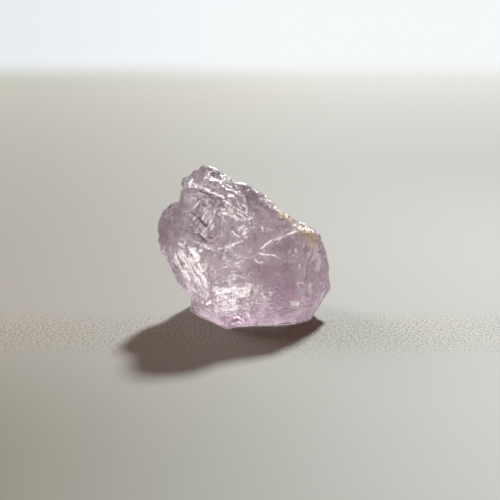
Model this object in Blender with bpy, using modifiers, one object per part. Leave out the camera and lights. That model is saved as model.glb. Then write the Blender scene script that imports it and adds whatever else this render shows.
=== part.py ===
"""A rough kunzite crystal: one broken piece of pale lilac spodumene on a flat break.

The piece is the union of a few convex chunks, each the hull of its named corners. Its surface
is then flaked by many shallow scoops, as brittle crystal breaks, and cut flat at the bottom.
X runs to the right, Y away from the front, Z up, and the origin is on the flat base.
"""

import bmesh
import bpy
import numpy as np
from mathutils import Vector
from mathutils.bvhtree import BVHTree

MM = 0.001
NAME = "kunzite_crystal"

# Sizes in millimetres.
BELOW = -1.2  # the chunks reach this far under the base before it is cut flat
GRAIN = 0.25  # cells of the grid in which the chunks melt into one skin
TRIANGLES = 8000  # of the finished skin, about

# Corners (x, y, z) of each convex chunk, in millimetres.
CHUNKS = {
    "trunk": (
        (-1.1, 0.5, 22.9), (0.3, 1.0, 22.4), (2.1, 1.5, 20.8), (4.7, 2.0, 19.1), (8.3, 2.0, 16.4),
        (1.5, -4.6, 16.2), (-4.0, -6.0, 13.3), (-5.6, -7.0, 8.8), (-5.0, -8.2, 6.2),
        (-1.5, -9.6, 5.0), (1.0, -9.2, 5.2), (-2.9, -9.0, BELOW), (2.0, -7.6, BELOW),
        (3.0, -5.6, 13.2), (9.0, -2.3, 15.3), (9.3, -4.6, 11.1), (9.4, -5.9, 5.8), (10.1, -6.2, BELOW),
        (-3.0, 8.0, 17.5), (4.0, 9.2, 13.0), (8.5, 8.0, 8.0), (9.0, 6.0, BELOW),
        (-2.0, 8.5, BELOW), (-6.0, 7.5, 6.0),
    ),
    "front_slab": (
        (-4.1, -7.0, 13.0), (0.2, -6.5, 14.8), (1.6, -5.5, 16.1), (-5.9, -7.7, 8.7), (-5.3, -9.1, 6.2),
        (-1.6, -10.9, 4.8), (1.0, -10.3, 5.0), (-3.0, -10.0, BELOW), (2.1, -8.2, BELOW),
        (2.9, -6.3, 10.5), (2.0, -3.0, 3.0), (-3.0, -4.0, 11.0), (1.0, -3.5, 14.0),
    ),
    "right_slab": (
        (2.9, -6.7, 13.0), (9.0, -3.1, 15.3), (9.5, -5.4, 11.1), (9.6, -6.8, 5.8), (10.3, -6.9, BELOW),
        (2.4, -8.5, BELOW), (2.2, -8.6, 5.5), (2.6, -7.2, 9.5), (6.0, -2.0, BELOW), (6.0, -2.0, 12.0),
    ),
    "neck": (
        (-3.6, -4.4, 20.8), (-0.9, -2.1, 22.0), (0.2, -2.3, 20.8), (-4.3, -5.9, 15.4),
        (1.3, -5.1, 16.6), (-4.0, -6.6, 13.4), (0.6, -5.6, 15.4), (0.0, -0.5, 20.5), (-1.0, -3.0, 14.0),
    ),
    "right_flank": (
        (8.2, 2.2, 16.3), (10.2, 2.0, 15.2), (12.1, 1.5, 14.1), (13.3, 1.0, 13.1), (13.7, 1.0, 10.7),
        (14.4, 0.0, 8.2), (14.8, -0.5, 5.8), (15.1, -1.0, 4.4), (14.5, -1.0, 3.4), (12.9, -3.0, 1.6),
        (11.7, -5.8, BELOW), (10.2, -6.2, BELOW), (9.4, -6.1, 5.8), (9.3, -4.8, 11.1), (8.9, -2.3, 15.2),
        (9.0, 6.5, 12.5), (11.5, 6.0, 6.0), (9.5, 5.5, BELOW), (4.0, 6.0, 14.0), (4.0, 2.0, 4.0),
        (7.0, -5.4, 8.0), (7.5, -2.2, 14.5),
    ),
    "tower_cap": (
        (-7.2, 2.0, 25.8), (-5.4, 2.0, 25.0), (-3.3, 1.0, 24.0), (-1.1, 0.3, 22.8), (-8.1, 2.0, 25.3),
        (-9.2, 2.0, 24.4), (-10.7, 3.5, 22.7), (-9.6, -1.5, 22.5), (-6.6, -3.4, 22.4),
        (-3.7, -4.4, 21.1), (-0.9, -2.5, 20.6), (-9.0, 6.0, 20.0), (-4.0, 7.0, 20.0),
        (-9.5, 1.5, 19.0), (-3.0, -1.0, 18.0), (0.0, 5.0, 19.0), (-1.0, -2.5, 19.0),
    ),
    "tower_shaft": (
        (-10.7, 1.0, 21.6), (-10.3, -1.0, 21.3), (-7.0, -2.6, 22.0), (-3.9, -3.4, 21.4),
        (-4.3, -5.2, 14.9), (-7.0, -6.0, 13.4), (-10.5, -3.2, 14.4), (-10.9, -0.5, 17.5),
        (-11.0, 2.0, 18.0), (-9.0, 6.0, 15.0), (-3.0, 7.0, 15.0), (-2.0, -5.2, 11.0), (-8.0, 3.0, 10.0),
        (0.0, -4.2, 16.5), (0.0, -1.0, 20.5),
    ),
    "left_lobe": (
        (-11.6, 2.0, 18.9), (-13.0, 2.0, 18.3), (-14.3, 2.0, 17.3), (-15.0, 1.5, 15.9),
        (-15.2, 1.5, 13.3), (-14.9, 1.5, 11.0), (-14.1, 1.0, 8.4), (-12.9, 0.5, 6.4),
        (-10.9, -0.8, 17.6), (-10.8, -2.8, 14.2), (-8.4, -5.2, 11.4), (-7.0, -5.8, 8.0),
        (-12.0, 5.5, 16.0), (-11.5, 6.0, 11.0), (-8.0, 6.5, 8.0), (-7.0, 4.5, 17.0),
        (-4.0, -4.5, 13.5), (-4.0, -6.2, 8.5),
    ),
    "left_wedge": (
        (-10.8, -2.8, 13.6), (-8.4, -5.2, 11.0), (-5.8, -7.7, 8.7), (-5.2, -9.0, 6.1),
        (-3.2, -9.5, BELOW), (-13.2, 0.5, 6.9), (-11.8, 0.5, 4.7), (-10.2, 0.5, 2.4),
        (-7.3, -5.3, 2.5), (-9.0, 5.5, 6.0), (-5.0, 6.0, BELOW), (-8.0, 2.0, BELOW), (-2.0, 2.0, 8.0),
        (-2.0, -8.0, 7.0), (-1.0, -8.5, 2.0),
    ),
    "left_foot": (
        (-10.0, 0.9, 2.9), (-10.4, 0.5, 1.2), (-10.4, 0.2, BELOW), (-8.9, -3.4, BELOW),
        (-6.3, -6.2, BELOW), (-4.2, -8.7, BELOW), (-7.2, -4.6, 2.4), (-4.0, -6.0, 3.0),
        (-7.5, 5.0, BELOW), (-7.5, 5.0, 3.0), (0.0, 0.0, 1.5),
    ),
    "back_left_slab": (
        (-10.8, 5.0, 16.5), (-9.6, 4.6, 21.0), (-4.0, 6.4, 21.0), (-2.2, 8.2, 15.0), (-11.4, 6.0, 11.5),
        (-8.6, 7.6, 7.0), (-7.4, 6.2, BELOW), (-3.0, 8.4, BELOW), (-3.2, 9.2, 8.0), (0.0, 2.0, 14.0),
        (-4.0, 2.0, 1.0), (-9.0, 2.0, 12.0),
    ),
    "back_right_slab": (
        (-4.4, 6.0, 20.2), (0.4, 5.6, 19.4), (4.6, 8.2, 14.5), (6.6, 9.0, 9.0), (-3.0, 9.4, 14.0),
        (-3.4, 9.4, 5.5), (5.0, 9.8, 4.0), (6.2, 7.8, BELOW), (-3.0, 7.6, BELOW), (0.0, 2.0, 6.0),
    ),
}

# Flakes: how many scoops, how deep the deepest lies (mm), how steeply they lean, the range of
# their hollowness (1/mm), and the furthest they move the skin in and out (mm). The large ones
# come first, and smaller ones ride on them.
FLAKES = (
    {"count": 240, "depth": 0.35, "lean": 0.17, "hollow": (0.01, 0.04), "reach": (-0.4, 0.25), "seed": 11},
    {"count": 1200, "depth": 0.15, "lean": 0.17, "hollow": (0.03, 0.12), "reach": (-0.2, 0.12), "seed": 12},
)
CRYSTAL = {"colour": (0.74, 0.60, 0.73, 1.0), "roughness": 0.12, "ior": 1.66, "clearness": 0.9}


def clear_scene():
    for obj in list(bpy.data.objects):
        bpy.data.objects.remove(obj, do_unlink=True)


def new_collection(name):
    collection = bpy.data.collections.new(name)
    bpy.context.scene.collection.children.link(collection)
    return collection


def crystal_material():
    material = bpy.data.materials.new("kunzite")
    material.use_nodes = True
    shader = material.node_tree.nodes["Principled BSDF"]
    shader.inputs["Base Color"].default_value = CRYSTAL["colour"]
    shader.inputs["Roughness"].default_value = CRYSTAL["roughness"]
    shader.inputs["IOR"].default_value = CRYSTAL["ior"]
    shader.inputs["Transmission Weight"].default_value = CRYSTAL["clearness"]
    shader.inputs["Metallic"].default_value = 0.0
    return material


def add_chunk(bm, corners):
    """Adds the convex solid that these corners span."""
    verts = [bm.verts.new(Vector(corner) * MM) for corner in corners]
    hull = bmesh.ops.convex_hull(bm, input=verts)
    inside = {part for part in hull["geom_interior"] if isinstance(part, bmesh.types.BMVert)}
    bmesh.ops.delete(bm, geom=list(inside), context="VERTS")


def modified(mesh, kind, **settings):
    """The mesh that one modifier makes of this one, which is then removed."""
    obj = bpy.data.objects.new(mesh.name, mesh)
    bpy.context.scene.collection.objects.link(obj)
    modifier = obj.modifiers.new(kind.lower(), kind)
    for name, value in settings.items():
        setattr(modifier, name, value)
    graph = bpy.context.evaluated_depsgraph_get()
    result = bpy.data.meshes.new_from_object(obj.evaluated_get(graph))
    bpy.data.meshes.remove(mesh)
    return result


def fused(mesh):
    """One closed skin around everything in the mesh."""
    return modified(mesh, "REMESH", mode="VOXEL", voxel_size=GRAIN * MM)


def flake_offsets(bm, count, depth, lean, hollow, reach, seed):
    """How far each point moves out: the lowest of many shallow bowls, which meet in sharp ridges.

    Each bowl sits at a random point of the skin, at a random depth, and leans at random.
    """
    rng = np.random.default_rng(seed)
    points = np.array([vert.co for vert in bm.verts]) / MM
    tree = BVHTree.FromBMesh(bm)
    lowest = np.full(len(points), np.inf)
    for place in rng.uniform(points.min(0), points.max(0), (count, 3)):
        away = points - np.array(tree.find_nearest(Vector(place * MM))[0]) / MM
        bowl = rng.uniform(-depth, 0) + away @ rng.normal(0, lean, 3)
        bowl += rng.uniform(*hollow) * (away**2).sum(1)
        lowest = np.minimum(lowest, bowl)
    return np.clip(lowest - lowest.mean(), *reach)


def calm_normals(bm):
    """The normals of the points, each averaged with its neighbours' a few times."""
    bm.normal_update()
    normals = np.array([vert.normal for vert in bm.verts])
    ends = np.array([[vert.index for vert in edge.verts] for edge in bm.edges])
    for _ in range(4):
        sums = normals.copy()
        np.add.at(sums, ends[:, 0], normals[ends[:, 1]])
        np.add.at(sums, ends[:, 1], normals[ends[:, 0]])
        normals = sums / np.maximum(np.linalg.norm(sums, axis=1, keepdims=True), 1e-9)
    return normals


def flake(bm):
    """Moves the points along their normals by the sum of all the flakes."""
    for layer in FLAKES:
        offsets = flake_offsets(bm, **layer)[:, None] * MM
        for vert, move in zip(list(bm.verts), calm_normals(bm) * offsets):
            vert.co += Vector(move)


def cut_flat(bm):
    """Cuts off what lies under the base and closes the cut with one flat face."""
    everything = list(bm.verts) + list(bm.edges) + list(bm.faces)
    cut = bmesh.ops.bisect_plane(
        bm, geom=everything, dist=1e-6, plane_co=(0, 0, 0), plane_no=(0, 0, -1), clear_outer=True
    )
    rim = [part for part in cut["geom_cut"] if isinstance(part, bmesh.types.BMEdge)]
    bmesh.ops.holes_fill(bm, edges=rim)
    bmesh.ops.triangulate(bm, faces=bm.faces)
    bmesh.ops.recalc_face_normals(bm, faces=bm.faces)


def keep_largest(bm):
    """Drops every crumb that is not joined to the rest."""
    left, islands = set(bm.verts), []
    while left:
        island, todo = set(), {left.pop()}
        while todo:
            vert = todo.pop()
            island.add(vert)
            near = {edge.other_vert(vert) for edge in vert.link_edges} & left
            left -= near
            todo |= near
        islands.append(island)
    islands.sort(key=len)
    for crumb in islands[:-1]:
        bmesh.ops.delete(bm, geom=list(crumb), context="VERTS")


def changed(mesh, *changes):
    """The mesh after these functions have worked on it in turn."""
    bm = bmesh.new()
    bm.from_mesh(mesh)
    for change in changes:
        change(bm)
    bm.to_mesh(mesh)
    bm.free()
    return mesh


def heap_up(bm):
    for corners in CHUNKS.values():
        add_chunk(bm, corners)
    bmesh.ops.recalc_face_normals(bm, faces=bm.faces)


def build():
    clear_scene()
    mesh = fused(changed(bpy.data.meshes.new(NAME), heap_up))
    mesh = fused(changed(mesh, flake))
    triangles = 2 * len(mesh.polygons)
    mesh = modified(mesh, "DECIMATE", ratio=TRIANGLES / triangles, use_collapse_triangulate=True)
    changed(mesh, cut_flat, keep_largest)
    mesh.name = NAME
    mesh.materials.clear()
    mesh.materials.append(crystal_material())
    crystal = bpy.data.objects.new(NAME, mesh)
    new_collection("kunzite crystal").objects.link(crystal)


build()
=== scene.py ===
"""The looks of the rough kunzite crystal: its broken skin, its clear lilac body, the table and the light.

The part's own frame holds throughout: X right, Y away from the front, Z up from the flat base. Lengths
are in millimetres and turn into metres where Blender gets them. Only the lamps are placed in metres.
"""

import math

import bpy
import numpy as np
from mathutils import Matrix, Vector
from mathutils.kdtree import KDTree


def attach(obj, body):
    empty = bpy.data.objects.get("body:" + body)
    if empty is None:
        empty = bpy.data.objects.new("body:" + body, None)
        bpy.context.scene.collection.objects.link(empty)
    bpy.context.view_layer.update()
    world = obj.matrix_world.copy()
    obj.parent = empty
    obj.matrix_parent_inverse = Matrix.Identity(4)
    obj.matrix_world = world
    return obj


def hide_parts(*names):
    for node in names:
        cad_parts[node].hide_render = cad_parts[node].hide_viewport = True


MM = 0.001
NODE = "kunzite_crystal"
BODY = "root"

# ---------------------------------------------------------------- the view
VIEW_HEIGHT = 15.0  # degrees that the camera looks down
LENS = 84.7  # mm on a 36 mm frame
CAMERA_AT = (0.97, -197.55, 64.07)
IN_SIGHT = (10, 20000)  # from the nearest to the farthest that the camera sees

# ---------------------------------------------------------------- the stage
TABLE_SIDE = 1500  # X of its right edge, and less than nought for its left one
TABLE_FRONT = -900  # Y, as for its back
TABLE_BACK = 500
TABLE_LEVEL = -0.02  # just under the flat base, so that the two don't share one plane
BACKDROP_HEIGHT = 300  # above the table, and as much below it
BACKDROP_LEFT = (0.815, 0.847, 0.88)
BACKDROP_RIGHT = (0.912, 0.947, 0.955)
BACKDROP_TURN = (-160, 20)  # X from where to where the left colour turns into the right one
SKYLINE = (330, 440)  # Y from where to where the table fades into the backdrop
# The table's colours at the left and at the right, and from where to where in X one turns into the
# other, for four places in Y from the front to the back. They hold painted light as well as tone: the
# table is painted darker to the left and brighter to the right, most of all at the front, as a
# painted pool of the window's light.
TABLE = {
    -70: {"left": (0.134, 0.128, 0.097), "right": (0.407, 0.458, 0.444), "from": -70, "to": 70},
    5: {"left": (0.239, 0.238, 0.214), "right": (0.383, 0.416, 0.402), "from": -70, "to": 70},
    160: {"left": (0.225, 0.231, 0.210), "right": (0.291, 0.311, 0.296), "from": -90, "to": 40},
    300: {"left": (0.215, 0.224, 0.200), "right": (0.289, 0.298, 0.284), "from": -120, "to": 60},
}
GRAIN_MIDDLE = -11.5  # Y of the line where the table's grain is strongest
GRAIN_FADE = (2, 16)  # from that line, between which the grain dies away
GRAIN_LIGHT = (1.17, 1.17, 1.16)  # times the table's colour, as the dark is too
GRAIN_DARK = (0.68, 0.64, 0.61)
GRAIN_BUMP = 0.4

# ---------------------------------------------------------------- the light
# Lamps: place and size in metres, power in watts. A glossy lamp shows in the crystal's facets. The
# window alone would burn them out, so it doesn't show, and the weak glint at the same place does.
# The fill lights only the crystal, whose frost and painted sheens are too dark without it, and the
# sky lights only the table, to soften the darkness of the shadow.
WINDOW_AT = (0.33, 1.395, 1.09)
LAMPS = {
    "window": {"place": WINDOW_AT, "size": 0.2, "power": 68.2, "glossy": False},
    "window_glint": {"place": WINDOW_AT, "size": 0.2, "power": 2.2, "glossy": True},
    "fill": {"place": (-0.45, -0.75, 0.85), "size": 0.7, "power": 21.5, "glossy": False, "lit": "crystal"},
    "sky": {"place": (-0.60, 0.55, 0.55), "size": 0.45, "power": 4.4, "glossy": False, "lit": "table"},
}
WARM_SKY = (1.0, 0.84, 0.80)
WALLS = (0.66, 0.66, 0.66)  # of the room, as the crystal and the camera see them
GLOOM = (0.20, 0.095, 0.075)  # of the room, as matt surfaces see it

# ---------------------------------------------------------------- the skin
SKIN_STEP = 0.15  # between the points of the fine skin
KEPT_SHARE = 0.795  # of the skin's triangles, so that they stay under 200,000
# Layers of flakes: how many, how deep, how steeply they lean, their hollowness (1/mm), how far in and
# out they may reach.
FINE_FLAKES = (
    {"count": 700, "depth": 0.12, "lean": 0.10, "hollow": (0.01, 0.06), "reach": (-0.16, 0.1), "seed": 23},
    {"count": 2600, "depth": 0.04, "lean": 0.08, "hollow": (0.02, 0.12), "reach": (-0.1, 0.06), "seed": 21},
    {"count": 9000, "depth": 0.03, "lean": 0.16, "hollow": (0.04, 0.25), "reach": (-0.05, 0.03), "seed": 22},
)
NEAR_FLAKES = 8  # of the flakes around a point, how many are tried
CALM_FACE = 0.7  # how much smoother the deep lilac and painted-shade faces are
FOOT = (0.1, 1.2)  # above the table, between which the skin grows as rough as it is higher up
FOOT_ROUGHNESS = 0.7  # of the roughness higher up
PINCH = 0.9  # how far the lower right corner is drawn in
PINCH_ACROSS = (8.5, 13.5)  # X from where to where it is drawn in more and more
PINCH_BELOW = (1.5, 5.0)  # Z from where to where it is drawn in less and less
AWAY = (-0.1, 0.5)  # slopes to the back, from where the skin grows dull to where it is
UPWARD = (0.3, 0.6)  # slopes up, likewise
UPWARD_DULL = 0.5
# Blotchy noise: the size of its lumps, its finer lumps (octaves), and the levels between which a
# blotch fades in.
BLOTCHES = {
    "crumbs": {"size": 0.5, "seed": 33, "octaves": 3, "levels": (0.38, 0.58)},
    "rubbed": {"size": 1.0, "seed": 35, "octaves": 4, "levels": (0.46, 0.60)},
    "rubbed_places": {"size": 5.0, "seed": 36, "octaves": 2, "levels": (0.35, 0.55)},
    "worn": {"size": 1.5, "seed": 61, "octaves": 3, "levels": (0.35, 0.60)},
    "cracked": {"size": 1.6, "seed": 52, "octaves": 3, "levels": (0.40, 0.56)},
}
RUBBED_SIZE = (0.5, 0.5, 2.4)  # of the lengthwise streaks on the sides that the view doesn't see
RUBBED_FROST = 0.35
WORN_SHARE = (82, 98)  # of the points, in percent, from where the ridges turn white to where they are
WORN_FROST = 0.4

# ---------------------------------------------------------------- the veils
VEIL_LEVEL = 0.4  # the cloudiness above which a crack lies under the skin
VEIL_DEPTH = (0.15, 0.4)  # under the skin
VEIL_LUMPS = {"size": 2.5, "seed": 51, "octaves": 2}  # of the noise between those depths
VEIL_THICKNESS = 0.05
BASE_SLOPE = (0.6, 0.8)  # slopes down, between which the flat base's own veil sets in
AIR_IOR = 0.6  # of air, as seen from inside the crystal

# ---------------------------------------------------------------- the crystal's colours and gloss
KUNZITE_IOR = 1.66
BODY_COLOUR = (0.69, 0.46, 0.59)  # that the body's absorption turns light to
BODY_DENSITY = 44.0  # 1/m
CLEAR_SKIN = (0.95, 0.91, 0.94)
# Deep lilac, partly the stone's own colour and partly painted shade on faces that look darker.
LILAC_AND_SHADE_SKIN = (0.49, 0.33, 0.43)
# White of the frost, which also stands for painted highlights and sheens.
FROST_AND_SHEEN_WHITE = (1.0, 0.98, 1.0)
GRIT_BROWN = (0.16, 0.09, 0.09)
OCHRE = (0.52, 0.33, 0.09)
# Dark brown of the cracks, which also paints shade in the block and at the base and the foot.
CRACK_AND_SHADE_BROWN = (0.06, 0.028, 0.024)
FULL_DUSK = 0.85  # the strength at which a crack or a painted shade is all brown
GRIT_SHARE = (0.7, 0.2)  # from the clear skin to the deep lilac and painted-shade faces
GLOSS = (0.10, 0.22)  # roughness, from spot to spot
DULL = 0.22  # more roughness on the back, the top and the stain
STAIN_CLOUD = 0.65  # how much the stain clouds the skin, where frost is 1
LET_THROUGH = (0.98, 0.2)  # share of the light that goes in, from clear skin to full frost
BUMP_DEPTH = 0.1  # of the finest unevenness
SKIN_BUMP = 0.35
SKIN_BUMPS = (2600.0, 5.0, 0.7)  # bumps per metre, finer bumps on them, and how strong those are
CRACK_CELLS = 1500.0  # per metre, of the cells between the finest cracks
CRACK_WIDTH = 0.16  # of a cell
# The noise in the materials: lumps per metre, finer lumps on them, how strong those are, and the
# levels between which it goes from nothing to all.
PATTERNS = {
    "broken_cracks": {"scale": 600.0, "detail": 3.0, "rough": 0.55, "levels": (0.45, 0.60)},
    "dark_specks": {"scale": 3600.0, "detail": 2.0, "rough": 0.55, "levels": (0.55, 0.72)},
    "gloss": {"scale": 900.0, "detail": 4.0, "rough": 0.6, "levels": (0.35, 0.65)},
    "table_grain": {"scale": 2400.0, "detail": 3.0, "rough": 0.6, "levels": (0.42, 0.64)},
}

# ---------------------------------------------------------------- the marks on the front
KINDS = ("frost_and_sheen", "cracks_and_shade", "amber", "lilac", "veil")
STROKE_RISE = {"frost_and_sheen": 0.25, "cracks_and_shade": -0.6, "amber": 0.0}  # of a stroke's half width
STROKE_EDGE = (0.2, 1.7)  # of a stroke's half width, between which it fades out
CRUMBLED = 0.4  # the share of a stroke that is broken up
STREAK_RISE = 0.04  # how far a patch's streaks stand out
STREAK_LONG = 1.8
STREAK_WIDE = 0.34
STREAK_OCTAVES = 4
STREAK_LEVELS = (-0.08, 0.12)  # around the level that gives a patch its cover
# How far inside its outline (outside, where negative) a patch's parts set in and are full.
PATCH_EDGE = {"lilac": (-0.9, 1.3), "streaks": (-0.5, 0.9), "rise": (-0.1, 0.2)}
PATCH_SEED = 41  # of the first patch's streaks
STAIN_MATT = 0.75  # how much of the frost the stain covers
FRONT = (0.0, 0.25)  # cosines to the view, between which the skin turns from unseen to seen
WOBBLE = 0.22  # that a mark strays from its drawn place
WOBBLE_SIZE = 0.9
WOBBLE_OCTAVES = 3
WOBBLE_SEEDS = (31, 32)
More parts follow.
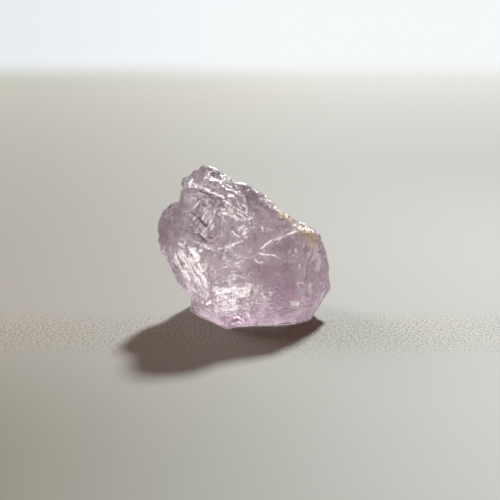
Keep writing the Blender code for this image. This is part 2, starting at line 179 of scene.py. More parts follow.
# Each mark is drawn on a sheet that stands at the origin and faces the view: X to the right and H up.
# It lands on the skin behind the sheet. A stroke is (half width, strength from 0 to 1, its path).
# The white marks are cloudy and stand out a little: partly frost, and partly painted highlights and
# sheens, as on the cap. The dark marks are brown and are cut in: dark cracks, and painted shade in
# the block under the cap's ledge and at the base and the foot. Amber is the ochre stain.
STROKES = {
    # The cap's white strokes are painted highlights where glints catch it, as well as frost.
    "cap": {"frost_and_sheen": (
        (0.30, 1.0, ((-9.2, 23.2), (-9.4, 22.6), (-9.6, 21.9))),
        (0.28, 0.8, ((-8.9, 22.3), (-8.3, 22.0))),
        (0.24, 0.8, ((-7.9, 21.9), (-7.2, 21.7))),
        (0.30, 1.0, ((-7.0, 21.5), (-6.3, 21.2))),
        (0.24, 1.0, ((-6.0, 20.9), (-5.0, 20.7), (-4.2, 20.3), (-3.7, 20.0))),
        (0.22, 0.5, ((-6.2, 23.1), (-5.5, 22.8))),
        (0.18, 0.5, ((-7.0, 24.0), (-6.6, 23.7))),
        (0.16, 0.7, ((-8.6, 24.9), (-8.2, 25.1))),
        (0.15, 0.5, ((-3.9, 21.9), (-3.2, 22.7))),
        (0.14, 0.5, ((-2.4, 23.6), (-1.2, 22.8), (-0.6, 22.7))),
    )},
    "neck": {"frost_and_sheen": (
        (0.18, 0.9, ((-1.6, 22.2), (-1.3, 21.7))),
        (0.16, 0.8, ((-0.2, 20.4), (0.0, 19.8), (0.3, 19.2))),
        (0.24, 1.0, ((0.4, 17.8), (0.8, 17.2))),
        (0.17, 0.8, ((-2.6, 18.6), (-2.0, 18.1))),
        (0.15, 0.6, ((-3.4, 18.6), (-2.9, 18.2))),
        (0.15, 0.6, ((-1.4, 19.4), (-0.8, 18.6))),
        (0.22, 1.0, ((-3.8, 17.2), (-2.9, 17.0), (-2.0, 16.6), (-1.1, 16.1))),
        (0.15, 0.7, ((-3.3, 17.3), (-1.7, 17.4), (-0.6, 17.4))),
        (0.18, 1.0, ((-4.6, 17.2), (-4.4, 16.8))),
        (0.15, 0.5, ((-4.2, 16.6), (-3.6, 16.2), (-3.0, 15.4), (-2.7, 14.3))),
        (0.15, 0.6, ((-1.2, 16.1), (0.3, 15.7), (1.4, 15.3), (1.9, 15.6))),
        (0.17, 0.8, ((1.7, 14.8), (0.6, 14.0), (-0.3, 13.5))),
        (0.17, 0.8, ((-2.1, 14.0), (-1.2, 13.2), (-0.6, 13.0))),
        (0.15, 0.5, ((1.0, 16.5), (1.6, 15.9), (2.3, 15.8))),
    )},
    "block": {"frost_and_sheen": (
        (0.14, 0.8, ((-4.8, 18.8), (-5.5, 18.2), (-6.4, 17.5), (-7.2, 16.9), (-7.4, 16.3))),
        (0.14, 0.5, ((-10.6, 17.6), (-9.6, 17.4))),
        (0.15, 0.5, ((-8.0, 15.0), (-7.0, 14.4), (-6.6, 13.9))),
        (0.14, 0.5, ((-8.5, 16.6), (-8.0, 15.9))),
    ), "cracks_and_shade": (
        (0.24, 0.60, ((-8.2, 21.2), (-7.2, 20.8), (-6.0, 20.6), (-5.0, 20.3), (-4.2, 19.7))),
        (0.24, 0.50, ((-7.4, 20.3), (-6.2, 20.0), (-5.0, 19.6))),
        (0.30, 0.75, ((-7.5, 18.8), (-6.8, 18.4))),
        (0.30, 0.75, ((-5.9, 19.0), (-5.5, 18.6))),
        (0.38, 0.75, ((-5.2, 18.2), (-4.4, 18.5))),
        (0.24, 0.85, ((-9.4, 17.4), (-8.9, 17.1), (-8.3, 16.6), (-7.8, 15.9), (-7.2, 15.4), (-6.6, 15.0))),
        (0.20, 0.65, ((-10.1, 15.4), (-9.6, 14.9), (-9.3, 14.6))),
        (0.20, 0.70, ((-10.4, 14.3), (-9.8, 13.8), (-9.2, 13.6), (-8.4, 13.5))),
        (0.18, 0.65, ((-8.1, 15.3), (-8.6, 14.5))),
        (0.20, 0.60, ((-4.9, 17.6), (-4.6, 16.9), (-4.8, 16.3))),
        (0.28, 0.50, ((-5.2, 16.0), (-5.1, 15.0), (-5.3, 14.2))),
        (0.24, 0.75, ((-6.3, 13.0), (-5.6, 12.9))),
        (0.22, 0.85, ((-8.1, 13.6), (-7.6, 13.0), (-7.2, 12.7))),
        (0.40, 0.75, ((-7.7, 12.3), (-7.4, 12.6), (-6.9, 12.2))),
        (0.16, 0.50, ((-8.8, 19.4), (-8.0, 19.0))),
        (0.18, 0.50, ((-12.2, 17.9), (-12.0, 17.9))),
        (0.18, 0.35, ((-9.9, 21.0), (-10.2, 19.4), (-10.7, 17.9))),
    )},
    "left": {"frost_and_sheen": (
        (0.36, 1.0, ((-8.9, 9.2), (-8.3, 8.8), (-7.9, 7.9), (-7.4, 7.0))),
        (0.44, 1.0, ((-7.8, 6.5), (-7.2, 5.8), (-6.9, 4.9), (-6.7, 4.3))),
        (0.28, 0.8, ((-8.3, 5.9), (-7.6, 4.4), (-7.2, 3.2), (-6.6, 2.2))),
        (0.30, 1.0, ((-10.5, 7.8), (-9.9, 7.5), (-9.3, 6.6), (-9.0, 6.1))),
        (0.26, 0.9, ((-10.4, 7.3), (-10.0, 6.9))),
        (0.26, 0.9, ((-12.2, 9.4), (-11.6, 9.0), (-11.4, 8.2))),
        (0.15, 0.7, ((-12.7, 9.0), (-11.9, 8.1), (-11.2, 7.3), (-10.7, 6.3))),
        (0.22, 0.8, ((-11.7, 11.8), (-11.0, 11.6), (-10.4, 12.0))),
        (0.18, 0.6, ((-11.2, 12.9), (-10.6, 12.4))),
        (0.17, 0.9, ((-9.8, 11.0), (-9.4, 10.3))),
        (0.17, 0.7, ((-9.7, 8.5), (-9.1, 8.9), (-8.7, 9.5))),
        (0.17, 0.7, ((-6.8, 9.5), (-6.7, 8.3), (-6.9, 7.3))),
        (0.15, 0.6, ((-10.8, 5.4), (-10.2, 4.8), (-9.7, 4.0))),
        (0.15, 0.6, ((-9.8, 5.4), (-9.2, 4.6), (-8.6, 3.6), (-8.0, 2.6))),
        (0.15, 0.6, ((-9.2, 5.8), (-8.6, 4.8), (-8.0, 3.8))),
        (0.15, 0.8, ((-9.4, 3.2), (-8.9, 2.7), (-8.2, 2.2))),
        (0.15, 0.6, ((-8.0, 1.9), (-7.4, 1.1), (-6.9, 0.2))),
        (0.16, 0.7, ((-6.2, 1.7), (-5.5, 0.3), (-4.8, -0.6))),
        (0.15, 0.6, ((-4.6, -1.4), (-4.2, -2.1), (-3.9, -2.7))),
        (0.15, 0.5, ((-6.9, -0.6), (-6.2, -1.4), (-5.4, -2.0))),
    ), "cracks_and_shade": (
        (0.16, 0.30, ((-6.2, 6.9), (-6.0, 5.5), (-6.0, 4.0), (-6.0, 2.8))),
        (0.16, 0.35, ((-5.9, 2.7), (-5.3, 2.6))),
        (0.14, 0.30, ((-7.9, 7.0), (-7.4, 6.3))),
        (0.14, 0.35, ((-12.9, 9.6), (-12.3, 8.4), (-11.6, 7.4), (-10.9, 6.6))),
    )},
    "low": {"frost_and_sheen": (
        (0.26, 0.8, ((-5.5, 4.3), (-5.0, 3.6), (-4.5, 3.2))),
        (0.44, 1.0, ((-4.9, 2.9), (-4.0, 2.7), (-3.1, 2.3))),
        (0.28, 0.9, ((-4.8, 2.0), (-4.5, 1.2))),
        (0.40, 1.0, ((-2.4, 1.9), (-1.9, 1.2), (-1.5, 0.9))),
        (0.20, 0.8, ((-1.1, 0.7), (-0.3, 0.6))),
        (0.20, 0.7, ((-5.7, 1.5), (-5.2, 1.2))),
        (0.16, 1.0, ((-3.4, 3.7), (-2.6, 4.0), (-1.0, 3.9), (0.0, 4.0), (0.6, 4.0))),
        (0.16, 1.0, ((-2.0, 3.4), (-0.6, 3.2), (0.4, 3.3), (1.0, 3.6))),
        (0.15, 0.8, ((-1.3, 2.5), (-0.3, 2.4))),
        (0.40, 0.7, ((0.8, 4.6), (1.5, 4.5), (2.3, 4.3))),
        (0.17, 1.0, ((3.1, 3.2), (3.3, 2.6), (3.6, 2.2))),
        (0.15, 0.6, ((0.2, -0.9), (0.9, -1.4))),
        (0.16, 0.6, ((1.3, -0.5), (1.9, -0.7))),
        (0.16, 0.4, ((2.0, 1.6), (2.8, 2.0))),
    ), "cracks_and_shade": (
        (0.22, 0.95, ((-2.0, -1.5), (-1.2, -1.4))),
        (0.15, 0.70, ((-3.1, 1.5), (-2.7, 1.5))),
        (0.14, 0.90, ((-0.25, 1.35), (-0.15, 1.35))),
        (0.15, 0.75, ((1.5, -0.3), (1.6, -0.3))),
        (0.14, 0.30, ((-2.4, 3.6), (-0.8, 3.55), (0.4, 3.6))),
        (0.14, 0.35, ((4.6, 4.2), (4.7, 4.2))),
    )},
    "middle": {"frost_and_sheen": (
        (0.16, 0.9, ((-4.7, 10.9), (-3.6, 11.1), (-2.2, 11.6), (-1.2, 12.1), (-0.2, 12.4))),
        (0.14, 0.7, ((-3.0, 6.1), (-1.9, 6.2), (-1.2, 6.1), (-0.2, 5.9), (0.6, 5.95))),
        (0.14, 0.5, ((-5.4, 7.2), (-4.6, 7.3), (-3.9, 7.6), (-3.0, 7.7))),
        (0.15, 0.5, ((-5.2, 8.7), (-5.1, 7.9))),
        (0.18, 0.5, ((-3.4, 9.9), (-3.1, 9.4), (-2.8, 8.8))),
        (0.15, 0.5, ((-2.2, 10.7), (-2.0, 10.4))),
        (0.14, 0.5, ((-5.5, 11.8), (-5.3, 10.9))),
        (0.15, 0.5, ((-0.5, 8.9), (0.3, 9.4))),
        (0.15, 1.0, ((3.1, 14.8), (3.3, 14.1))),
        (0.14, 0.6, ((3.1, 14.6), (4.0, 14.5), (5.2, 14.2))),
        (0.15, 0.6, ((0.2, 13.2), (0.5, 12.9))),
        (0.14, 0.4, ((2.6, 13.5), (3.0, 13.0), (3.2, 12.5))),
        (0.15, 0.7, ((5.6, 15.5), (6.2, 15.2), (7.1, 15.4))),
        (0.16, 0.9, ((3.0, 11.0), (4.2, 12.0), (4.8, 12.3))),
        (0.20, 1.0, ((4.6, 12.2), (5.2, 12.5), (6.2, 12.9))),
        (0.16, 0.8, ((6.2, 12.9), (7.3, 13.4), (8.6, 13.8), (9.4, 14.1))),
        (0.15, 0.5, ((3.6, 11.6), (5.2, 12.9), (6.5, 13.9), (8.0, 14.7), (8.8, 15.1))),
        (0.17, 0.9, ((9.3, 14.6), (9.6, 14.5))),
        (0.15, 0.9, ((2.6, 10.2), (3.6, 9.95), (5.0, 9.9), (5.6, 9.6), (6.1, 9.3))),
        (0.15, 0.8, ((1.7, 9.3), (2.0, 8.8), (2.6, 8.55), (3.2, 8.6))),
        (0.17, 0.5, ((5.4, 6.4), (6.0, 6.3))),
        (0.15, 0.4, ((4.5, 5.1), (4.8, 4.7))),
    ), "cracks_and_shade": (
        (0.14, 0.30, ((3.2, 10.9), (5.2, 11.8), (7.2, 12.9), (9.0, 13.4))),
        (0.15, 0.35, ((6.0, 15.1), (6.8, 14.9))),
        (0.16, 0.30, ((6.2, 9.5), (6.7, 9.6))),
    )},
    "right": {"frost_and_sheen": (
        (0.14, 0.5, ((8.1, 13.4), (9.1, 12.4), (9.9, 11.5), (10.3, 11.2))),
        (0.17, 0.7, ((9.0, 10.9), (9.2, 10.2), (9.1, 9.8))),
        (0.16, 0.7, ((8.2, 9.6), (8.6, 9.8))),
        (0.16, 0.4, ((8.3, 7.7), (8.5, 7.6))),
        (0.16, 0.6, ((11.2, 11.6), (11.8, 11.3))),
        (0.16, 0.5, ((12.4, 11.6), (12.6, 11.4))),
        (0.15, 0.5, ((9.7, 8.3), (9.8, 7.2))),
        (0.14, 0.6, ((9.3, 5.3), (9.6, 4.2), (9.9, 3.4))),
        (0.18, 0.7, ((12.7, 8.5), (12.9, 7.5))),
        (0.15, 0.5, ((11.2, 9.4), (12.2, 8.7))),
        (0.15, 0.5, ((11.4, 7.6), (12.3, 7.5))),
        (0.18, 0.5, ((10.2, 4.8), (11.6, 4.4))),
        (0.17, 0.6, ((14.0, 6.1), (14.1, 5.8))),
        (0.17, 0.7, ((13.3, 5.0), (13.5, 4.8))),
        (0.16, 0.5, ((12.4, 5.1), (12.5, 4.9))),
        (0.16, 0.5, ((11.5, 5.8), (11.7, 5.6))),
        (0.15, 0.6, ((13.5, 9.7), (13.9, 8.4))),
        (0.22, 0.9, ((8.1, 1.5), (8.8, 1.6), (9.6, 1.5))),
        (0.22, 0.9, ((8.4, 1.0), (9.0, 1.1), (9.5, 0.9))),
        (0.16, 0.6, ((9.9, 0.6), (10.2, 0.1), (10.4, -0.6), (10.5, -1.1))),
        (0.20, 0.6, ((7.4, -1.4), (7.9, -1.0))),
        (0.17, 0.5, ((8.8, -0.8), (9.2, -1.2))),
    ), "cracks_and_shade": (
        (0.14, 0.70, ((10.0, 4.6), (10.2, 4.0))),
        (0.15, 0.55, ((12.0, 3.1), (12.2, 3.0))),
        (0.15, 0.40, ((10.8, -0.8), (10.9, -1.0))),
        (0.15, 0.45, ((8.3, 9.4), (8.5, 9.2))),
        (0.14, 0.35, ((4.2, 0.0), (5.2, -0.4), (6.4, -0.2), (7.4, -0.5))),
    )},
    "stain": {"frost_and_sheen": (
        (0.18, 0.8, ((6.2, 18.0), (6.5, 17.6))),
        (0.16, 0.6, ((6.4, 17.1), (7.0, 16.6))),
        (0.16, 0.6, ((7.8, 16.2), (8.0, 15.9))),
    ), "amber": (
        (0.85, 0.6, ((5.3, 18.4), (5.9, 17.2))),
        (0.75, 0.9, ((6.2, 18.0), (6.6, 17.2), (7.6, 16.5), (8.4, 15.9))),
        (0.60, 0.5, ((8.6, 15.6), (9.8, 15.2))),
        (1.10, 0.9, ((10.3, 14.4), (11.2, 13.5), (12.0, 12.9))),
        (0.90, 0.4, ((10.4, 13.2), (10.8, 12.0), (11.6, 11.2))),
    ), "cracks_and_shade": (
        (0.20, 0.45, ((5.6, 17.8), (5.8, 17.2))),
        (0.18, 0.70, ((8.9, 15.7), (9.2, 15.6))),
        (0.28, 0.40, ((10.6, 14.2), (11.1, 13.7))),
        (0.15, 0.40, ((6.9, 16.9), (7.5, 16.5))),
    )},
}# Patches are closed outlines on the same sheet. "lilac" deepens the body, "veil" is a cloudy crack
# under the skin, and "rise" lifts the skin. "grain" is the angle, in degrees from X, of a patch's fine
# streaks of frost, dusk and veil, and "cover" is how much of the patch they fill.
# The deep lilac patches are partly the stone's colour and partly painted shade, as on the facet under the
# long ridge. The white streaks in them also paint sheens, and the dark streaks also paint shade in the block
# and at the base.
PATCHES = {
    "left_streaks": {
        "outline": (
            (-12.6, 12.6), (-9.2, 11.4), (-6.6, 9.2), (-6.3, 4.0), (-6.4, 1.4), (-9.6, 3.8),
            (-12.8, 9.4),
        ),
        "grain": -58, "cover": 0.52, "frost_and_sheen": 1.0, "veil": 1.0,
    },
    "low_white": {
        "outline": (
            (-5.8, 4.4), (-3.2, 4.2), (1.6, 4.9), (3.0, 3.9), (1.0, 0.0), (-1.6, -1.0),
            (-5.0, -0.6), (-5.8, 1.4),
        ),
        "grain": 15, "cover": 0.6, "frost_and_sheen": 0.85, "veil": 1.0,
    },
    "corner_white": {
        "outline": ((7.9, 1.7), (10.0, 1.8), (10.3, 0.5), (8.0, 0.4)),
        "grain": 20, "cover": 0.75, "frost_and_sheen": 0.9, "veil": 1.0,
    },
    "cap_white": {
        "outline": ((-8.9, 22.6), (-6.8, 24.4), (-4.2, 23.8), (-1.6, 22.8), (-3.6, 19.9), (-6.2, 21.0)),
        "grain": -25, "cover": 0.45, "frost_and_sheen": 0.4, "veil": 0.4,
    },
    "neck_white": {
        "outline": (
            (-4.2, 19.4), (-2.2, 21.8), (-0.4, 20.6), (1.2, 17.2), (2.0, 15.8), (-1.0, 16.0),
            (-4.2, 17.2),
        ),
        "grain": -30, "cover": 0.5, "frost_and_sheen": 1.0, "veil": 1.0,
    },
    "neck_triangle": {
        "outline": ((-1.8, 15.1), (0.8, 15.4), (1.7, 14.8), (0.2, 13.8), (-0.8, 13.5)),
        "grain": 30, "cover": 0.8, "frost_and_sheen": 0.75, "veil": 1.0,
    },
    "ridge_band": {
        "outline": (
            (3.2, 11.1), (5.0, 12.7), (6.7, 14.0), (8.9, 15.2), (9.6, 14.2), (7.3, 13.4),
            (5.0, 12.4),
        ),
        "grain": 30, "cover": 0.9, "frost_and_sheen": 0.3, "rise": 0.25,
    },
    # Painted shade as well as brown cracks: the block under the cap's ledge is painted darker.
    "block": {
        "outline": ((-9.6, 21.2), (-3.8, 19.6), (-4.8, 14.0), (-6.4, 12.0), (-8.0, 12.0), (-10.6, 14.0)),
        "grain": -40, "cover": 0.5, "cracks_and_shade": 0.4, "lilac": 0.3,
    },
    "block_frost": {
        "outline": ((-9.6, 21.0), (-4.0, 19.4), (-5.0, 14.0), (-6.6, 12.4), (-8.0, 12.4), (-10.4, 14.0)),
        "grain": 55, "cover": 0.36, "frost_and_sheen": 0.65, "veil": 0.6,
    },
    "column": {
        "outline": ((-10.6, 21.4), (-9.0, 21.4), (-9.4, 18.0), (-11.4, 18.2)),
        "grain": 80, "cover": 0.8, "cracks_and_shade": 0.3, "lilac": 0.3,
    },
    "flank": {
        "outline": ((9.9, 12.5), (13.0, 12.6), (15.2, 4.0), (12.5, -1.8), (10.4, -2.0), (10.0, 3.0)),
        "grain": 75, "cover": 0.38, "frost_and_sheen": 0.65, "cracks_and_shade": 0.15, "lilac": 0.8,
    },
    "base_frost": {
        "outline": (
            (-9.0, 2.6), (-6.6, 0.6), (-2.0, 0.2), (4.0, 0.0), (10.4, 0.6), (10.8, -2.2),
            (4.0, -3.0), (-3.4, -3.4), (-7.0, -1.8), (-8.6, 0.0),
        ),
        "grain": -35, "cover": 0.4, "frost_and_sheen": 0.45, "veil": 0.6,
    },
    # Painted shade: the lowest band of the base is painted darker, with dark streaks and deep lilac.
    "base_dusk": {
        "outline": (
            (-6.6, -0.8), (-2.0, -0.4), (4.0, 0.4), (12.4, 2.2), (12.4, -2.4), (4.0, -3.0),
            (-3.4, -3.4), (-7.0, -1.8),
        ),
        "grain": 25, "cover": 0.5, "cracks_and_shade": 0.4, "lilac": 0.5,
    },
    "middle_veil": {
        "outline": ((-5.4, 12.6), (-1.0, 13.0), (1.6, 10.6), (2.2, 6.0), (-5.8, 4.6)),
        "grain": 15, "cover": 0.25, "frost_and_sheen": 0.45, "veil": 0.6,
    },
    # Painted shade as well as deep lilac: the facet under the long ridge is painted darker.
    "dark_facet": {
        "outline": ((3.8, 10.8), (5.4, 12.0), (9.0, 13.4), (9.6, 11.4), (8.6, 10.2), (6.5, 9.8)),
        "lilac": 1.0,
    },
    "dark_middle": {
        "outline": (
            (-0.4, 12.0), (1.0, 14.0), (2.2, 15.2), (5.8, 15.2), (7.6, 14.8), (4.6, 12.6),
            (3.0, 11.0),
        ),
        "lilac": 0.6,
    },
    "right_face": {
        "outline": (
            (0.8, 8.6), (7.0, 9.0), (9.6, 8.4), (9.8, 2.0), (8.0, -2.4), (4.6, -2.4), (4.4, 3.2),
            (1.0, 6.2),
        ),
        "lilac": 0.9,
    },
    "slope": {
        "outline": (
            (-0.4, 22.6), (1.2, 22.4), (6.0, 18.4), (5.4, 15.6), (2.6, 15.6), (2.0, 17.5),
            (1.0, 19.5),
        ),
        "grain": -40, "cover": 0.3, "frost_and_sheen": 0.4, "lilac": 0.6,
    },
    "lobe": {
        "outline": (
            (-15.4, 17.2), (-12.6, 18.9), (-11.0, 18.6), (-10.8, 14.6), (-12.4, 12.8),
            (-13.4, 10.4), (-15.6, 13.0),
        ),
        "lilac": 0.6,
    },
    # Painted shade: the foot is painted deep lilac and dark where it meets the table.
    "foot": {
        "outline": ((-9.6, 3.2), (-8.1, 1.9), (-7.4, 0.6), (-7.2, -1.8), (-10.0, -0.8)),
        "lilac": 1.0, "grain": 60, "cover": 0.6, "cracks_and_shade": 0.4,
    },
    "cap_left": {
        "outline": ((-8.8, 25.6), (-6.0, 26.0), (-4.0, 24.4), (-5.6, 23.8), (-7.2, 22.4), (-8.8, 23.0)),
        "lilac": 0.5,
    },
}


def metres(*lengths):
    return tuple(length * MM for length in lengths)


# ---------------------------------------------------------------- mesh helpers
def linked(name, data):
    obj = bpy.data.objects.new(name, data)
    bpy.context.scene.collection.objects.link(obj)
    return obj


def modified(mesh, kind, **settings):
    """The mesh that one modifier makes of this one."""
    obj = linked(mesh.name, mesh)
    modifier = obj.modifiers.new(kind.lower(), kind)
    for name, value in settings.items():
        setattr(modifier, name, value)
    graph = bpy.context.evaluated_depsgraph_get()
    result = bpy.data.meshes.new_from_object(obj.evaluated_get(graph))
    bpy.data.objects.remove(obj)
    return result


def points_of(mesh):
    """The mesh's points in millimetres, one a row."""
    flat = np.empty(len(mesh.vertices) * 3, np.float32)
    mesh.vertices.foreach_get("co", flat)
    return flat.reshape(-1, 3).astype(float) / MM


def set_points(mesh, points):
    mesh.vertices.foreach_set("co", (points * MM).astype(np.float32).ravel())
    mesh.update()


def edges_of(mesh):
    ends = np.empty(len(mesh.edges) * 2, np.int32)
    mesh.edges.foreach_get("vertices", ends)
    return ends.reshape(-1, 2)


def quads_of(mesh):
    corners = np.empty(len(mesh.polygons) * 4, np.int32)
    mesh.polygons.foreach_get("vertices", corners)
    return corners.reshape(-1, 4)


def normals_of(mesh):
    flat = np.empty(len(mesh.vertices) * 3, np.float32)
    mesh.vertex_normals.foreach_get("vector", flat)
    return flat.reshape(-1, 3).astype(float)


def values_of(mesh, name):
    """One value a point, as set_values stored it."""
    values = np.empty(len(mesh.vertices), np.float32)
    mesh.attributes[name].data.foreach_get("value", values)
    return values


def set_values(mesh, name, values):
    layer = mesh.attributes.new(name, "FLOAT", "POINT")
    layer.data.foreach_set("value", values.astype(np.float32))


def spread(values, edges, rounds):
    """Each point's value averaged with its neighbours', a few times."""
    weights = np.ones(len(values))
    np.add.at(weights, edges[:, 0], 1)
    np.add.at(weights, edges[:, 1], 1)
    shape = (-1,) + (1,) * (values.ndim - 1)
    for _ in range(rounds):
        sums = values.copy()
        np.add.at(sums, edges[:, 0], values[edges[:, 1]])
        np.add.at(sums, edges[:, 1], values[edges[:, 0]])
        values = sums / weights.reshape(shape)
    return values


def calm_normals(mesh, rounds=4):
    """The directions out of the skin, without its finest bumps."""
    normals = spread(normals_of(mesh), edges_of(mesh), rounds)
    return normals / np.maximum(np.linalg.norm(normals, axis=1, keepdims=True), 1e-9)


# ---------------------------------------------------------------- noise and flakes
def smooth_step(value, low, high):
    share = np.clip((value - low) / (high - low), 0, 1)
    return share * share * (3 - 2 * share)


def lattice_noise(points, size, seed, octaves):
    """Smooth noise from 0 to 1 whose lumps are size mm across, with finer lumps on them."""
    cells = 32
    table = np.random.default_rng(seed).uniform(0, 1, (cells, cells, cells))
    total = np.zeros(len(points))
    weight = 0.0
    for octave in range(octaves):
        place = points / size * 2**octave
        low = np.floor(place).astype(int)
        part = place - low
        part = part * part * (3 - 2 * part)
        value = np.zeros(len(points))
        for corner in np.ndindex(2, 2, 2):
            near = (low + corner) % cells
            share = np.where(np.array(corner) == 1, part, 1 - part).prod(1)
            value += share * table[near[:, 0], near[:, 1], near[:, 2]]
        total += value / 2**octave
        weight += 1 / 2**octave
    return total / weight


def blotches(points, name):
    """Soft-edged blotches from 0 to 1, of a kind that BLOTCHES names."""
    kind = BLOTCHES[name]
    noise = lattice_noise(points, kind["size"], kind["seed"], kind["octaves"])
    return smooth_step(noise, *kind["levels"])


def flake_offsets(points, count, depth, lean, hollow, reach, seed):
    """How far each point moves out: the lowest of the shallow bowls around it."""
    rng = np.random.default_rng(seed)
    centres = points[rng.choice(len(points), count, replace=False)]
    depths = rng.uniform(-depth, 0, count)
    leans = rng.normal(0, lean, (count, 3))
    hollows = rng.uniform(*hollow, count)
    tree = KDTree(count)
    for index, centre in enumerate(centres):
        tree.insert(centre, index)
    tree.balance()
    near = np.array([[hit[1] for hit in tree.find_n(point, NEAR_FLAKES)] for point in points])
    away = points[:, None, :] - centres[near]
    bowls = depths[near] + (away * leans[near]).sum(2) + hollows[near] * (away**2).sum(2)
    lowest = bowls.min(1)
    return np.clip(lowest - lowest.mean(), *reach)


# ---------------------------------------------------------------- drawing on the sheet
def onto_sheet(points):
    """Where the points appear on the sheet that the marks are drawn on, seen from the front."""
    tilt = math.radians(VIEW_HEIGHT)
    ahead = np.array((0, math.cos(tilt), -math.sin(tilt)))
    across = np.array((1, 0, 0))
    up = np.array((0, math.sin(tilt), math.cos(tilt)))
    eye = np.array(CAMERA_AT)
    far = -eye @ ahead
    away = points - eye
    scale = far / (away @ ahead)
    return np.stack([away @ across * scale + eye @ across, away @ up * scale + eye @ up], 1)


def line_distance(spots, path):
    """How far each spot of the sheet is from a line through these points."""
    nearest = np.full(len(spots), np.inf)
    for start, end in zip(path, path[1:]):
        start, end = np.array(start), np.array(end)
        along = end - start
        share = np.clip((spots - start) @ along / (along @ along), 0, 1)
        gap = spots - start - share[:, None] * along
        nearest = np.minimum(nearest, np.hypot(gap[:, 0], gap[:, 1]))
    return nearest


def inside(spots, outline):
    """Which spots of the sheet lie in a closed outline."""
    found = np.zeros(len(spots), bool)
    for (x0, h0), (x1, h1) in zip(outline, outline[1:] + outline[:1]):
        crosses = (spots[:, 1] < h0) != (spots[:, 1] < h1)
        if h0 != h1:
            found ^= crosses & (spots[:, 0] < x0 + (spots[:, 1] - h0) / (h1 - h0) * (x1 - x0))
    return found


def streaks(spots, angle, cover, seed):
    """Fine streaks on the sheet in one direction, from 0 between them to 1 on them."""
    turn = math.radians(angle)
    along = spots @ (math.cos(turn), math.sin(turn))
    aside = spots @ (-math.sin(turn), math.cos(turn))
    drawn = np.stack([along / STREAK_LONG, aside / STREAK_WIDE, np.zeros(len(spots))], 1)
    level = 0.5 - 0.6 * (cover - 0.5)  # about cover of the noise lies above it
    low, high = STREAK_LEVELS
    return smooth_step(lattice_noise(drawn, 1.0, seed, STREAK_OCTAVES), level + low, level + high)


def mark_patches(marks, spots, front):
    for seed, patch in enumerate(PATCHES.values(), PATCH_SEED):
        outline = patch["outline"]
        edge = line_distance(spots, outline + outline[:1])
        depth = np.where(inside(spots, outline), edge, -edge)
        share = {part: smooth_step(depth, *fade) * front for part, fade in PATCH_EDGE.items()}
        marks["rise"] += share["rise"] * patch.get("rise", 0)
        marks["lilac"] = np.maximum(marks["lilac"], share["lilac"] * patch.get("lilac", 0))
        if "grain" in patch:
            streaky = share["streaks"] * streaks(spots, patch["grain"], patch["cover"], seed)
            marks["rise"] += STREAK_RISE * streaky
            for kind in ("frost_and_sheen", "cracks_and_shade", "veil"):
                marks[kind] = np.maximum(marks[kind], streaky * patch.get(kind, 0))


def mark_strokes(marks, points, spots, front):
    """The strokes, crumbled so that they look broken and not drawn."""
    low, high = STROKE_EDGE
    whole = 1 - CRUMBLED + CRUMBLED * blotches(points, "crumbs")
    for region in STROKES.values():
        for kind, strokes in region.items():
            for half, strength, path in strokes:
                aside = line_distance(spots, path)
                share = front * whole * (1 - smooth_step(aside, low * half, high * half))
                marks["rise"] += share * strength * half * STROKE_RISE[kind]
                marks[kind] = np.maximum(marks[kind], share * strength)


def marks_of(mesh):
    """How much of each kind of mark each point bears, and how far the marks move it out.

    The strokes and patches are on the side that faces the view, and the rest has only faint
    lengthwise streaks of frost.
    """
    points = points_of(mesh)
    toward = np.array(CAMERA_AT) - points
    toward /= np.linalg.norm(toward, axis=1, keepdims=True)
    front = smooth_step((calm_normals(mesh, 2) * toward).sum(1), *FRONT)
    shift = [lattice_noise(points, WOBBLE_SIZE, seed, WOBBLE_OCTAVES) - 0.5 for seed in WOBBLE_SEEDS]
    spots = onto_sheet(points) + WOBBLE * np.stack(shift, 1)
    marks = {kind: np.zeros(len(points)) for kind in ("rise", *KINDS)}
    mark_patches(marks, spots, front)
    mark_strokes(marks, points, spots, front)
    rubbed = (1 - front) * blotches(points / RUBBED_SIZE, "rubbed") * blotches(points, "rubbed_places")
    marks["frost_and_sheen"] = np.maximum(marks["frost_and_sheen"], RUBBED_FROST * rubbed)
    return marks


# ---------------------------------------------------------------- the crystal's meshes
def worn_edges(mesh):
    """How much each point stands out from those around it, from 0 to 1 at the sharpest ridges."""
    points = points_of(mesh)
    gap = ((points - spread(points, edges_of(mesh), 3)) * calm_normals(mesh, 2)).sum(1)
    low, high = np.percentile(gap, WORN_SHARE)
    return smooth_step(gap, low, high) * blotches(points, "worn")


def pinched(points):
    """The points with the lower right corner drawn in."""
    share = smooth_step(points[:, 0], *PINCH_ACROSS) * (1 - smooth_step(points[:, 2], *PINCH_BELOW))
    return points - PINCH * share[:, None] * np.array((1, 0, 0))


def flake(mesh):
    """Breaks the skin into ever finer flakes, less on the deep lilac and painted-shade faces and near
    the table.
    """
    broken = 1 - CALM_FACE * marks_of(mesh)["lilac"]
    for layer in FINE_FLAKES:
        points = points_of(mesh)
        higher = FOOT_ROUGHNESS + (1 - FOOT_ROUGHNESS) * smooth_step(points[:, 2], *FOOT)
        offsets = flake_offsets(points, **layer) * broken * higher
        set_points(mesh, points + calm_normals(mesh) * offsets[:, None])


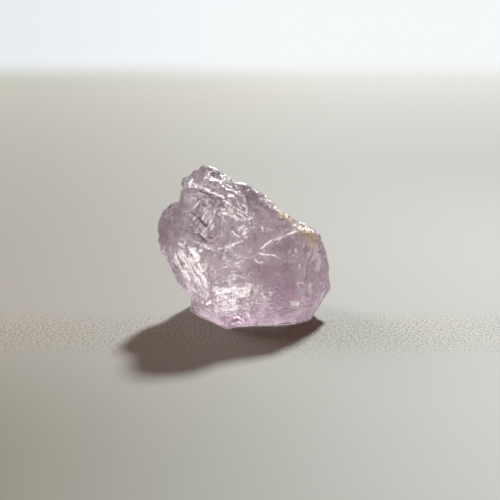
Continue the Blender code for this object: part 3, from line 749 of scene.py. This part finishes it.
def skin_mesh(node):
    """A fine closed skin over the CAD solid, flaked and marked, and flat at the base."""
    mesh = modified(node.data.copy(), "REMESH", mode="VOXEL", voxel_size=SKIN_STEP * MM)
    mesh.name = "crystal_skin"
    flake(mesh)
    set_points(mesh, pinched(points_of(mesh)))
    marks = marks_of(mesh)
    points = points_of(mesh) + calm_normals(mesh, 2) * marks["rise"][:, None]
    points[:, 2] = np.maximum(points[:, 2], 0)
    set_points(mesh, points)
    marks["frost_and_sheen"] = np.maximum(marks["frost_and_sheen"], WORN_FROST * worn_edges(mesh))
    marks["frost_and_sheen"] *= 1 - STAIN_MATT * marks["amber"]
    facing = calm_normals(mesh, 3)
    away = smooth_step(facing[:, 1], *AWAY)
    upward = UPWARD_DULL * smooth_step(facing[:, 2], *UPWARD)
    marks["dull"] = np.maximum(np.maximum(away, upward), marks["amber"])
    for name in (*KINDS, "dull"):
        set_values(mesh, name, marks[name])
    return mesh


def veil_mesh(skin):
    """Thin air-filled cracks: closed flakes under the skin's clouds and just above its base."""
    clouds = values_of(skin, "veil") * blotches(points_of(skin), "cracked")
    share = np.maximum(clouds, smooth_step(-calm_normals(skin, 2)[:, 2], *BASE_SLOPE))
    quads = quads_of(skin)
    quads = quads[share[quads].mean(1) > VEIL_LEVEL]
    kept, quads = np.unique(quads, return_inverse=True)
    points = points_of(skin)[kept]
    shallow, deep = VEIL_DEPTH
    depth = shallow + (deep - shallow) * lattice_noise(points, **VEIL_LUMPS)
    sunk = points - calm_normals(skin, 6)[kept] * depth[:, None]
    mesh = bpy.data.meshes.new("veils")
    mesh.from_pydata((sunk * MM).tolist(), [], quads.reshape(-1, 4).tolist())
    return modified(mesh, "SOLIDIFY", thickness=VEIL_THICKNESS * MM, offset=0.0)


# ---------------------------------------------------------------- materials
class Nodes:
    """A small helper that adds nodes to one material and joins them."""

    def __init__(self, name):
        self.material = bpy.data.materials.new(name)
        self.material.use_nodes = True
        self.tree = self.material.node_tree
        self.shader = self.tree.nodes["Principled BSDF"]
        self.output = self.tree.nodes["Material Output"]

    def add(self, kind, **settings):
        node = self.tree.nodes.new(kind)
        for name, value in settings.items():
            setattr(node, name, value)
        return node

    def feed(self, value, socket):
        """Joins another node's output to a socket, or sets the socket to a number or a colour."""
        if isinstance(value, bpy.types.NodeSocket):
            self.tree.links.new(value, socket)
        elif isinstance(value, tuple):
            socket.default_value = (*value, 1.0)
        else:
            socket.default_value = value

    def look(self, **values):
        """Feeds the shader's sockets, named with _ for a space."""
        for name, value in values.items():
            self.feed(value, self.shader.inputs[name.replace("_", " ")])

    def place(self):
        return self.add("ShaderNodeTexCoord").outputs["Object"]

    def axis(self, name):
        node = self.add("ShaderNodeSeparateXYZ")
        self.feed(self.place(), node.inputs[0])
        return node.outputs[name]

    def attribute(self, name):
        return self.add("ShaderNodeAttribute", attribute_name=name).outputs["Fac"]

    def noise(self, scale, detail, rough):
        node = self.add("ShaderNodeTexNoise")
        self.feed(scale, node.inputs["Scale"])
        self.feed(detail, node.inputs["Detail"])
        self.feed(rough, node.inputs["Roughness"])
        self.feed(self.place(), node.inputs["Vector"])
        return node.outputs["Fac"]

    def ramp(self, value, low, high, to_low=0.0, to_high=1.0):
        """Turns a value that goes from low to high softly into one from to_low to to_high."""
        node = self.add("ShaderNodeMapRange", interpolation_type="SMOOTHSTEP")
        self.feed(low, node.inputs["From Min"])
        self.feed(high, node.inputs["From Max"])
        self.feed(to_low, node.inputs["To Min"])
        self.feed(to_high, node.inputs["To Max"])
        self.feed(value, node.inputs["Value"])
        return node.outputs["Result"]

    def pattern(self, name, to_low=0.0, to_high=1.0):
        """One of the noises that PATTERNS names, between its levels."""
        kind = PATTERNS[name]
        noise = self.noise(kind["scale"], kind["detail"], kind["rough"])
        return self.ramp(noise, *kind["levels"], to_low, to_high)

    def compute(self, operation, *values):
        node = self.add("ShaderNodeMath", operation=operation)
        for value, socket in zip(values, node.inputs):
            self.feed(value, socket)
        return node.outputs[0]

    def mix(self, factor, first, second, blend="MIX"):
        node = self.add("ShaderNodeMix", data_type="RGBA", blend_type=blend)
        self.feed(factor, node.inputs[0])
        self.feed(first, node.inputs[6])
        self.feed(second, node.inputs[7])
        return node.outputs[2]

    def bump(self, height, depth, strength):
        node = self.add("ShaderNodeBump")
        self.feed(strength, node.inputs["Strength"])
        self.feed(depth * MM, node.inputs["Distance"])
        self.feed(height, node.inputs["Height"])
        return node.outputs["Normal"]


def grit(nodes):
    """Fine dark specks and broken cracks, fewer on the deep lilac and painted-shade faces."""
    cracks = nodes.add("ShaderNodeTexVoronoi", feature="DISTANCE_TO_EDGE")
    nodes.feed(CRACK_CELLS, cracks.inputs["Scale"])
    nodes.feed(nodes.place(), cracks.inputs["Vector"])
    thin = nodes.ramp(cracks.outputs["Distance"], 0.0, CRACK_WIDTH, 1.0, 0.0)
    lines = nodes.compute("MULTIPLY", thin, nodes.pattern("broken_cracks"))
    both = nodes.compute("MAXIMUM", lines, nodes.pattern("dark_specks"))
    share = nodes.ramp(nodes.attribute("lilac"), 0.0, 1.0, *GRIT_SHARE)
    return nodes.compute("MULTIPLY", both, share)


def crystal_material():
    """Clear lilac spodumene, cloudy and matt where it is frosted, with brown cracks and an ochre stain.
    The frost also paints highlights and sheens, the deep lilac also paints shade on darker faces, and
    the brown also paints shade under the cap's ledge and at the base and the foot.
    """
    nodes = Nodes("kunzite")
    frost_and_sheen = nodes.attribute("frost_and_sheen")
    amber = nodes.attribute("amber")
    cracks_and_shade = nodes.ramp(nodes.attribute("cracks_and_shade"), 0.0, FULL_DUSK)
    colour = nodes.mix(nodes.attribute("lilac"), CLEAR_SKIN, LILAC_AND_SHADE_SKIN)
    coats = ((frost_and_sheen, FROST_AND_SHEEN_WHITE), (grit(nodes), GRIT_BROWN), (amber, OCHRE), (cracks_and_shade, CRACK_AND_SHADE_BROWN))
    for share, coat in coats:
        colour = nodes.mix(share, colour, coat)
    dull = nodes.ramp(nodes.attribute("dull"), 0.0, 1.0, 0.0, DULL)
    cloudy = nodes.compute("MULTIPLY_ADD", amber, STAIN_CLOUD, frost_and_sheen)
    nodes.look(
        IOR=KUNZITE_IOR,
        Base_Color=colour,
        Roughness=nodes.compute("ADD", nodes.pattern("gloss", *GLOSS), dull),
        Transmission_Weight=nodes.ramp(cloudy, 0.1, 1.0, *LET_THROUGH),
        Normal=nodes.bump(nodes.noise(*SKIN_BUMPS), BUMP_DEPTH, SKIN_BUMP),
    )
    volume = nodes.add("ShaderNodeVolumeAbsorption")
    nodes.feed(BODY_COLOUR, volume.inputs["Color"])
    nodes.feed(BODY_DENSITY, volume.inputs["Density"])
    nodes.feed(volume.outputs["Volume"], nodes.output.inputs["Volume"])
    return nodes.material


def veil_material():
    nodes = Nodes("veil")
    nodes.look(IOR=AIR_IOR, Base_Color=(1.0, 1.0, 1.0), Roughness=1.0, Transmission_Weight=1.0)
    return nodes.material


def table_colour_and_painted_light(nodes):
    """Turns from left to right at each place of TABLE, and from each place to the next one behind: the
    table's tone with its painted light.
    """
    places = sorted(TABLE)
    rows = []
    for place in places:
        stop = TABLE[place]
        across = nodes.ramp(nodes.axis("X"), *metres(stop["from"], stop["to"]))
        rows.append(nodes.mix(across, stop["left"], stop["right"]))
    colour = rows[0]
    for near, far, row in zip(places, places[1:], rows[1:]):
        colour = nodes.mix(nodes.ramp(nodes.axis("Y"), *metres(near, far)), colour, row)
    return colour


def backdrop_colour(nodes):
    """The bright background, a little dimmer to the left."""
    return nodes.mix(nodes.ramp(nodes.axis("X"), *metres(*BACKDROP_TURN)), BACKDROP_LEFT, BACKDROP_RIGHT)


def table_material():
    """A pale matt table with painted light, brighter to the right, whose far end fades into the bright
    backdrop.

    Its fine grain shows around the crystal and dies away to the front and to the back.
    """
    nodes = Nodes("table")
    middle = nodes.compute("SUBTRACT", nodes.axis("Y"), GRAIN_MIDDLE * MM)
    near = nodes.ramp(nodes.compute("ABSOLUTE", middle), *metres(*GRAIN_FADE), 1.0, 0.0)
    specks = nodes.pattern("table_grain")
    grain = nodes.mix(near, (1.0, 1.0, 1.0), nodes.mix(specks, GRAIN_LIGHT, GRAIN_DARK))
    grained = nodes.mix(1.0, table_colour_and_painted_light(nodes), grain, "MULTIPLY")
    far = nodes.ramp(nodes.axis("Y"), *metres(*SKYLINE))
    nodes.look(
        Base_Color=nodes.mix(far, grained, (0.0, 0.0, 0.0)),
        Emission_Color=backdrop_colour(nodes),
        Emission_Strength=far,
        Roughness=1.0,
        Specular_IOR_Level=0.0,
        Normal=nodes.bump(nodes.compute("MULTIPLY", specks, near), BUMP_DEPTH, GRAIN_BUMP),
    )
    return nodes.material


def backdrop_material():
    nodes = Nodes("backdrop")
    nodes.look(
        Base_Color=(0.0, 0.0, 0.0),
        Specular_IOR_Level=0.0,
        Emission_Color=backdrop_colour(nodes),
        Emission_Strength=1.0,
    )
    return nodes.material


# ---------------------------------------------------------------- stage, light and view
def plane(name, corners, material):
    mesh = bpy.data.meshes.new(name)
    mesh.from_pydata([metres(*corner) for corner in corners], [], [(0, 1, 2, 3)])
    mesh.materials.append(material)
    obj = linked(name, mesh)
    return obj


def make_table():
    wide, front, back = TABLE_SIDE, TABLE_FRONT, TABLE_BACK
    sides = ((-wide, front), (wide, front), (wide, back), (-wide, back))
    return plane("table", [(x, y, TABLE_LEVEL) for x, y in sides], table_material())


def make_backdrop():
    """A bright wall at the table's far end, through which the window still shines."""
    wide, high = TABLE_SIDE, BACKDROP_HEIGHT
    sides = ((-wide, -high), (wide, -high), (wide, high), (-wide, high))
    wall = plane("backdrop", [(x, TABLE_BACK, z) for x, z in sides], backdrop_material())
    wall.visible_shadow = False


def make_lamp(name, lamp, lit):
    """A round lamp that faces the crystal, and lights only some things where it is told which."""
    light = bpy.data.lights.new(name, "AREA")
    light.shape = "DISK"
    light.size = lamp["size"]
    light.energy = lamp["power"]
    obj = linked(name, light)
    obj.location = lamp["place"]
    obj.rotation_euler = (-Vector(lamp["place"])).to_track_quat("-Z", "Y").to_euler()
    obj.visible_glossy = lamp["glossy"]
    if lit:
        receivers = bpy.data.collections.new("lit_by_" + name)
        for receiver in lit:
            receivers.objects.link(receiver)
        obj.light_linking.receiver_collection = receivers
    return light


def make_room():
    """A dim warm room: the crystal gathers its pale walls, while little of them reaches the table."""
    world = bpy.data.worlds.new("room")
    bpy.context.scene.world = world
    world.use_nodes = True
    tree = world.node_tree
    path = tree.nodes.new("ShaderNodeLightPath")
    mix = tree.nodes.new("ShaderNodeMix")
    mix.data_type = "RGBA"
    mix.inputs[6].default_value = (*WALLS, 1.0)
    mix.inputs[7].default_value = (*GLOOM, 1.0)
    tree.links.new(path.outputs["Is Diffuse Ray"], mix.inputs["Factor"])
    tree.links.new(mix.outputs[2], tree.nodes["Background"].inputs["Color"])
    tree.nodes["Background"].inputs["Strength"].default_value = 1.0


def make_light(pieces, table):
    make_room()
    receivers = {"crystal": pieces, "table": (table,)}
    lights = {name: make_lamp(name, lamp, receivers.get(lamp.get("lit"))) for name, lamp in LAMPS.items()}
    lights["sky"].color = WARM_SKY


def make_camera():
    data = bpy.data.cameras.new("camera")
    data.lens = LENS
    data.clip_start, data.clip_end = metres(*IN_SIGHT)
    camera = linked("camera", data)
    camera.location = metres(*CAMERA_AT)
    camera.rotation_euler = (math.radians(90 - VIEW_HEIGHT), 0, 0)
    bpy.context.scene.camera = camera


# ---------------------------------------------------------------- the pieces
def piece(name, mesh, material):
    mesh.materials.clear()
    mesh.materials.append(material)
    obj = linked(name, mesh)
    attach(obj, BODY)
    return obj


def make_crystal(node):
    """The see-through stone and the air gaps in it.

    The table gathers no light from the stone, so that the shadow stays dark right up to its foot.
    """
    skin = skin_mesh(node)
    crystal = piece("crystal", modified(skin, "DECIMATE", ratio=KEPT_SHARE), crystal_material())
    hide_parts(NODE)
    crystal.visible_diffuse = False
    veils = piece("veils", veil_mesh(skin), veil_material())
    return crystal, veils


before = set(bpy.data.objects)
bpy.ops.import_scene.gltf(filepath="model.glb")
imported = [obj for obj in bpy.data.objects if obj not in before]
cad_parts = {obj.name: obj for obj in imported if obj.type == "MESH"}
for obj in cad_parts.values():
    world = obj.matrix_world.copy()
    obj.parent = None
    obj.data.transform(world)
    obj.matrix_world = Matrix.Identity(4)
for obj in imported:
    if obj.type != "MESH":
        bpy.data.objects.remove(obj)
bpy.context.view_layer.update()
pieces = make_crystal(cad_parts[NODE])
table = make_table()
make_backdrop()
make_light(pieces, table)
make_camera()
bpy.context.scene.view_settings.view_transform = "Standard"
